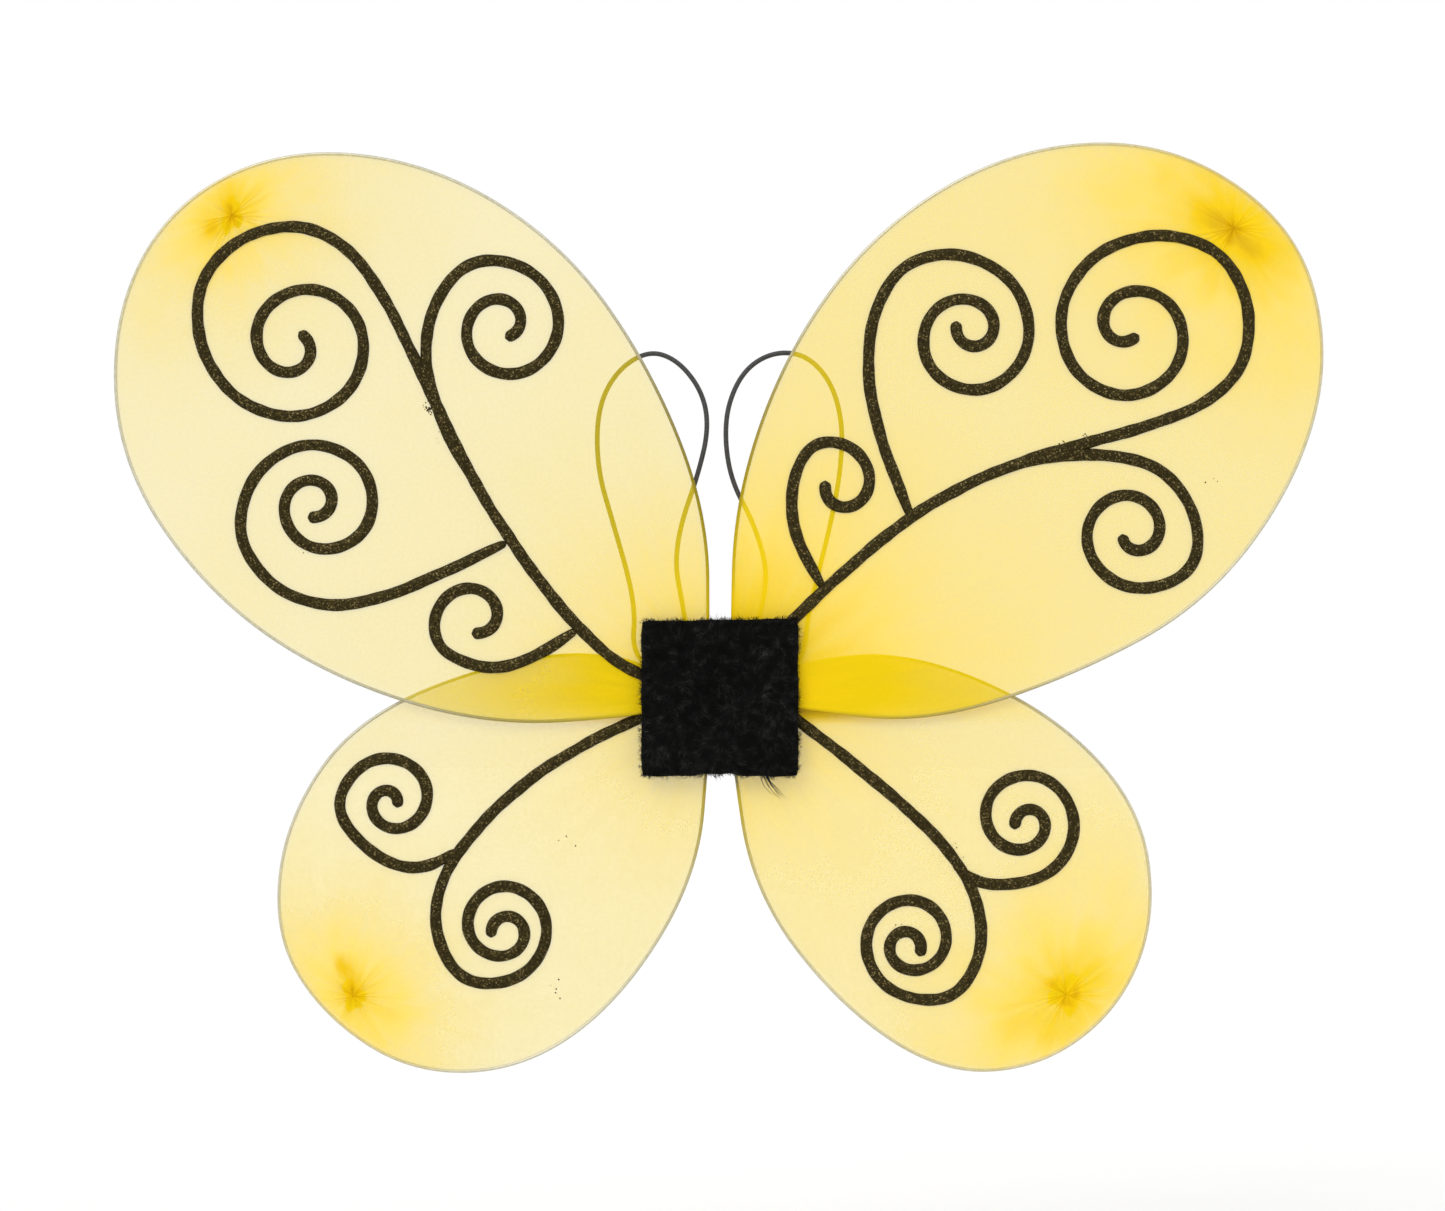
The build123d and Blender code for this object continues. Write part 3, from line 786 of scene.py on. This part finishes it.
# ---------------------------------------------------------------- tied toes
TOE_RAYS = 96
TOE_PROFILE = (  # radius and height behind the nylon, in mm, and how deep the folds are there
    (5.2, 0.15, 0.30), (4.0, 0.45, 0.45), (3.0, 0.8, 0.45), (2.1, 1.15, 0.35), (1.5, 1.5, 0.2),
    (1.35, 2.1, 0.15), (1.6, 2.5, 0.2), (2.4, 2.9, 0.4), (3.2, 3.3, 0.6), (2.7, 3.4, 0.6),
    (0.7, 2.6, 0.2),
)
TUFT_RADIUS = 3.2  # mm, of the tuft behind the thread, before it takes a knot's width and height
THREAD_RADIUS = 1.75  # mm, of the thread's turns, before the same
THREAD_TURNS = 3
THREAD_STEPS = 12  # control points in each turn


def knot_place(wing, across, tall):
    """X and Z from the toe of a point on a round knot, once it takes its own size and turn."""
    width, height, lean = wing["knot"]
    across, tall = across * width / TUFT_RADIUS, tall * height / TUFT_RADIUS
    cosine, sine = math.cos(math.radians(lean)), math.sin(math.radians(lean))
    return across * cosine + tall * sine, tall * cosine - across * sine


def make_toe_tie(name, wing, cloth):
    """The stocking's toe, gathered behind the wing, tied with thread and left as a small tuft."""
    dice = random.Random("toe " + name)
    x, z = (c * MM for c in wing["toe"])
    back_y = plane_of(wing) + LAYER_GAP + 0.7 * MM
    turn = np.linspace(0, 2 * math.pi, TOE_RAYS, endpoint=False)
    folds = np.sin(turn * 11 + dice.uniform(0, 6.3) + 1.1 * np.sin(2 * turn))
    lobes = 0.22 * np.sin(turn * 3 + dice.uniform(0, 6.3))
    lobes += 0.15 * np.sin(turn * 5 + dice.uniform(0, 6.3))
    rings = []
    for radius, rise, depth in TOE_PROFILE:
        r = (radius * (1 + lobes) + depth * folds) * MM
        y = back_y + (rise + 0.5 * depth * np.cos(turn * 11 + 1.0)) * MM
        out_x, out_z = knot_place(wing, r * np.cos(turn), r * np.sin(turn))
        rings.append(np.c_[x + out_x, y, z + out_z])
    faces = []
    for k in range(len(rings) - 1):
        for i in range(TOE_RAYS):
            j = (i + 1) % TOE_RAYS
            a, b = k * TOE_RAYS, (k + 1) * TOE_RAYS
            faces.append((a + i, b + i, b + j, a + j))
    last = (len(rings) - 1) * TOE_RAYS
    faces.append(tuple(last + i for i in range(TOE_RAYS))[::-1])
    tuft = mesh_object("toe_tuft_" + name, np.vstack(rings), faces, [cloth])
    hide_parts("toe_tie_" + name)
    turns = []
    for k in range(THREAD_TURNS * THREAD_STEPS + 1):
        a = k * math.tau / THREAD_STEPS
        out_x, out_z = knot_place(wing, THREAD_RADIUS * math.cos(a), THREAD_RADIUS * math.sin(a))
        turns.append((x + out_x * MM, back_y + (1.55 + 0.16 * a / math.pi) * MM, z + out_z * MM))
    binding = nurbs_route("toe_thread_" + name, turns)
    binding.data.bevel_depth = 0.2 * MM
    binding.data.bevel_resolution = 2
    binding.data.materials.append(thread)
    return tuft, binding


def gathered_material():
    """The same nylon, many folds thick, so it hides what is behind it."""
    s = Shader("gathered_nylon")
    folds = s.noise(s.place(), 500.0, 3.0)
    colour = s.ramp(folds, (0.3, (0.36, 0.22, 0.002)), (0.7, (0.70, 0.48, 0.006)))
    s.set(Base_Color=colour, Roughness=0.6)
    s.surface.inputs["Sheen Weight"].default_value = 0.2
    s.bump(folds, 0.4, 0.0004)
    return s.material


gathered = gathered_material()


def make_wings():
    """Each wing's wire, sleeve, swirls and tied toe, all moving with its own body."""
    for name, wing in WINGS.items():
        level, side = name.split("_")
        body = f"{level}_{side}_wing"
        pieces = [make_wire(name, wing), make_sleeve(name, wing), make_swirl(name, wing)]
        pieces.extend(make_toe_tie(name, wing, gathered))
        for piece in pieces:
            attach(piece, body)


make_wings()

# ---------------------------------------------------------------- plush pads
PAD_ROWS = 60
PAD_ROUND = 1.5 * MM
TUFT_FIBRES = 9
PALE_SHARE = 0.20  # of the tufts


def pad_shell(size, back_y, front_y, columns):
    """A plush block between two heights, over the columns given from -1 (left) to +1 (right)."""
    half = size / 2
    rows = np.linspace(-1, 1, PAD_ROWS)
    u, v = np.meshgrid(columns, rows, indexing="ij")
    corner = np.abs(u) ** 14 * np.abs(v) ** 14
    ripple = 0.22 * MM * (np.sin(v * 9 + 1) + np.sin(u * 8 + 2) + 0.5 * np.sin((u + v) * 17))
    edge = np.maximum(np.abs(u), np.abs(v)) ** 6
    x = u * half * (1 - 0.014 * corner) + ripple * np.abs(u) ** 6 * np.sign(u) * 0.6
    z = v * half * (1 - 0.014 * corner) + ripple * edge * np.sign(v) * 0.6
    worn = 1 / (1 + np.exp((np.abs(x + 1.5 * MM) - 7.5 * MM) / (0.5 * MM)))
    z = z + worn * 1.0 * MM * np.clip(-v, 0, 1) ** 8 + 0.5 * MM * u * np.clip(v, 0, 1)
    inside = np.minimum(half - np.abs(u * half), half - np.abs(v * half))
    crown = np.sqrt(np.clip(1 - (1 - np.clip(inside / PAD_ROUND, 0, 1)) ** 2, 0, 1))
    lumps = sum(
        0.12 * MM * np.sin(a * x / MM + b * z / MM + a * 40)
        for a, b in ((0.31, 0.12), (-0.17, 0.36), (0.52, -0.41), (0.09, 0.77))
    )
    thick = (back_y - front_y) * (0.30 + 0.67 * crown)
    front = np.stack([x, back_y - thick + lumps * crown, z], axis=-1)
    back = np.stack([x, np.full_like(x, back_y), z], axis=-1)
    return front, back


def shell_faces(columns, rows):
    """Faces of a front and a back grid and the four walls between them."""
    count = columns * rows

    def at(i, j, layer):
        return layer * count + i * rows + j

    faces = []
    for i in range(columns - 1):
        for j in range(rows - 1):
            faces.append((at(i, j, 0), at(i + 1, j, 0), at(i + 1, j + 1, 0), at(i, j + 1, 0)))
            faces.append((at(i, j, 1), at(i, j + 1, 1), at(i + 1, j + 1, 1), at(i + 1, j, 1)))
    loop = [(i, 0) for i in range(columns)] + [(columns - 1, j) for j in range(1, rows)]
    loop += [(i, rows - 1) for i in range(columns - 2, -1, -1)]
    loop += [(0, j) for j in range(rows - 2, 0, -1)]
    for (i, j), (k, m) in zip(loop, loop[1:] + loop[:1]):
        faces.append((at(k, m, 0), at(i, j, 0), at(i, j, 1), at(k, m, 1)))
    return faces


def fibres(roots, ways, bends, lengths, width):
    """Fine tapering fibres, flat to the front, curving from their way towards their bend."""
    ways = ways / np.linalg.norm(ways, axis=1)[:, None]
    across = np.cross(ways, np.array([0.2, 1.0, 0.15]))
    across *= width / np.linalg.norm(across, axis=1)[:, None]
    rows = []
    for t, taper in ((0.0, 1.0), (0.4, 0.85), (0.75, 0.6)):
        spine = roots + (ways * t + bends * t * t) * lengths[:, None]
        rows += [spine - across * taper, spine + across * taper]
    rows.append(roots + (ways + bends) * lengths[:, None])
    points = np.stack(rows, axis=1).reshape(-1, 3)
    strips = []
    for n in range(0, len(points), 7):
        strips += [(n, n + 1, n + 3, n + 2), (n + 2, n + 3, n + 5, n + 4), (n + 4, n + 5, n + 6)]
    return points, strips


def pile_on(front, half, tufts, outward, length, rng):
    """Roots, ways, bends and lengths of fibres, in tufts combed outwards over a pad's face."""
    i = rng.uniform(0, front.shape[0] - 1.001, tufts)
    j = rng.uniform(0, front.shape[1] - 1.001, tufts)
    low = front[i.astype(int), j.astype(int)]
    step = front[i.astype(int) + 1, j.astype(int) + 1] - low
    starts = low + step * (i % 1)[:, None]
    comb = np.arctan2(starts[:, 2] + 4 * MM, starts[:, 0] - 4 * MM)
    comb = comb + 0.8 * np.sin(starts[:, 0] / MM * 0.23)
    comb = comb + 0.8 * np.sin(starts[:, 2] / MM * 0.19) + rng.normal(0, 0.5, tufts)
    lean = rng.uniform(1.0, 3.0, tufts)
    edge = np.maximum(np.abs(starts[:, 0]), np.abs(starts[:, 2])) / half
    lean = np.where(edge > 0.9, lean * 0.35, lean)
    reach = rng.uniform(0.6, 1.0, tufts) * length * np.where(edge > 0.9, 0.45, 1.0)
    each = np.repeat(np.arange(tufts), TUFT_FIBRES)
    count = len(each)
    roots = starts[each] + np.stack([
        rng.normal(0, 0.45 * MM, count), np.zeros(count), rng.normal(0, 0.45 * MM, count)
    ], axis=1)
    roots[:, 1] -= outward * 0.3 * MM
    ways = np.stack([
        np.cos(comb[each]) * lean[each] + rng.normal(0, 0.25, count), np.full(count, outward),
        np.sin(comb[each]) * lean[each] + rng.normal(0, 0.25, count),
    ], axis=1)
    bends = np.stack([
        rng.normal(0, 0.22, count), np.full(count, -outward * 0.25), rng.normal(0, 0.22, count)
    ], axis=1)
    return roots, ways, bends, reach[each] * rng.uniform(0.8, 1.0, count)


def make_pad(name, size, back_y, front_y, columns, tufts, outward, length, wisp=None):
    """One plush pad, or half of one: its body and the pile on its outer face and edges."""
    rng = np.random.default_rng(sum(map(ord, name)))
    front, back = pad_shell(size, back_y, front_y, columns)
    body = np.vstack([front.reshape(-1, 3), back.reshape(-1, 3)])
    faces = shell_faces(len(columns), PAD_ROWS)
    hairs, strips = fibres(*pile_on(front, size / 2, tufts, outward, length, rng), 0.07 * MM)
    pale = np.repeat(rng.random(tufts) < PALE_SHARE, TUFT_FIBRES * 3)
    if wisp is not None:
        more, more_strips = wisp
        strips = strips + [tuple(len(hairs) + i for i in strip) for strip in more_strips]
        hairs, pale = np.vstack([hairs, more]), np.r_[pale, np.ones(len(more_strips), bool)]
    hair_faces = [tuple(len(body) + i for i in strip) for strip in strips]
    pad = mesh_object(name, np.vstack([body, hairs]), faces + hair_faces, [plush, pile])
    slots = np.r_[np.zeros(len(faces), np.int32), pale.astype(np.int32)]
    pad.data.polygons.foreach_set("material_index", slots)
    return pad


def loose_wisp(front_y):
    """A few long fibres that hang out below the front pad, right of its middle."""
    rng = np.random.default_rng(7)
    roots = np.array([18.0, 0.0, -29.5]) * MM + rng.normal(0, 1.0 * MM, (9, 3))
    roots[:, 1] = front_y + 2.2 * MM
    ways = np.array([0.35, -0.02, -1.0]) + rng.normal(0, 0.10, (9, 3))
    bends = np.array([0.45, 0.02, 0.10]) + rng.normal(0, 0.10, (9, 3))
    return fibres(roots, ways, bends, rng.uniform(9, 13, 9) * MM, 0.14 * MM)


def make_pads():
    """The front pad is two halves that meet in the middle.

    The rear one is whole.
    """
    low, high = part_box("front_pad")
    size, front_y, back_y = high[0] - low[0], low[1], high[1]
    for side, sign in (("left", -1), ("right", 1)):
        columns = np.linspace(-1, 0, 31) if sign < 0 else np.linspace(0, 1, 31)
        pad = make_pad(
            "front_plush_" + side, size, back_y, front_y + 0.2 * MM, columns, 2600, -1.0, 5.5 * MM,
            loose_wisp(front_y) if sign > 0 else None,
        )
        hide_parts("front_pad")
        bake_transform(pad)
    low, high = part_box("back_pad")
    pad = make_pad(
        "back_plush", high[0] - low[0], low[1], high[1] - 0.5 * MM, np.linspace(-1, 1, 61),
        3200, 1.0, 1.2 * MM,
    )
    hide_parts("back_pad")
    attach(pad, "root")


make_pads()


# ---------------------------------------------------------------- carried-over pieces
def finish_cad_nodes():
    """Tape and glue keep their CAD shapes and get their own finishes."""
    finishes = {
        "lashing_top": tape, "lashing_bottom": tape, "glue_front": glue, "glue_back": glue,
        "dab_left": glue, "dab_right": glue,
    }
    for name, material in finishes.items():
        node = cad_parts[name]
        if not node.material_slots:
            node.data.materials.append(material)
        for material_slot in node.material_slots:
            material_slot.material = material


finish_cad_nodes()


# ---------------------------------------------------------------- floor and light
FLOOR_HALF = 6  # half of the floor's side
FLOOR_DROP = 0.12  # how far below the wings it lies


def make_studio():
    """A pale floor well below the wings, a white surround and two soft lamps."""
    bpy.context.scene.view_settings.view_transform = "Standard"
    world = bpy.data.worlds.new("surround")
    world.use_nodes = True
    world.node_tree.nodes["Background"].inputs[0].default_value = (1.0, 1.0, 1.0, 1)
    world.node_tree.nodes["Background"].inputs[1].default_value = 1.0
    bpy.context.scene.world = world
    for name, strength, spread, turn in (
        ("key", 0.95, 30, (52, 0, -28)),
        ("fill", 0.25, 50, (60, 0, 50)),
    ):
        lamp = bpy.data.lights.new(name, "SUN")
        lamp.energy = strength
        lamp.angle = math.radians(spread)
        holder = bpy.data.objects.new(name, lamp)
        holder.rotation_euler = [math.radians(a) for a in turn]
        bpy.context.scene.collection.objects.link(holder)
    s = Shader("floor")
    mottle = s.noise(s.place(), 3.0, 2.0)
    s.set(Base_Color=s.ramp(mottle, (0.3, (0.835, 0.835, 0.83)), (0.7, (0.85, 0.85, 0.845))))
    s.set(Roughness=0.9)
    reach = FLOOR_HALF
    corners = [(-reach, -reach, 0), (reach, -reach, 0), (reach, reach, 0), (-reach, reach, 0)]
    floor = mesh_object("floor", corners, [(0, 1, 2, 3)], [s.material], smooth=False)
    floor.location = (0, 0, cad_box[0][2] - FLOOR_DROP)


make_studio()
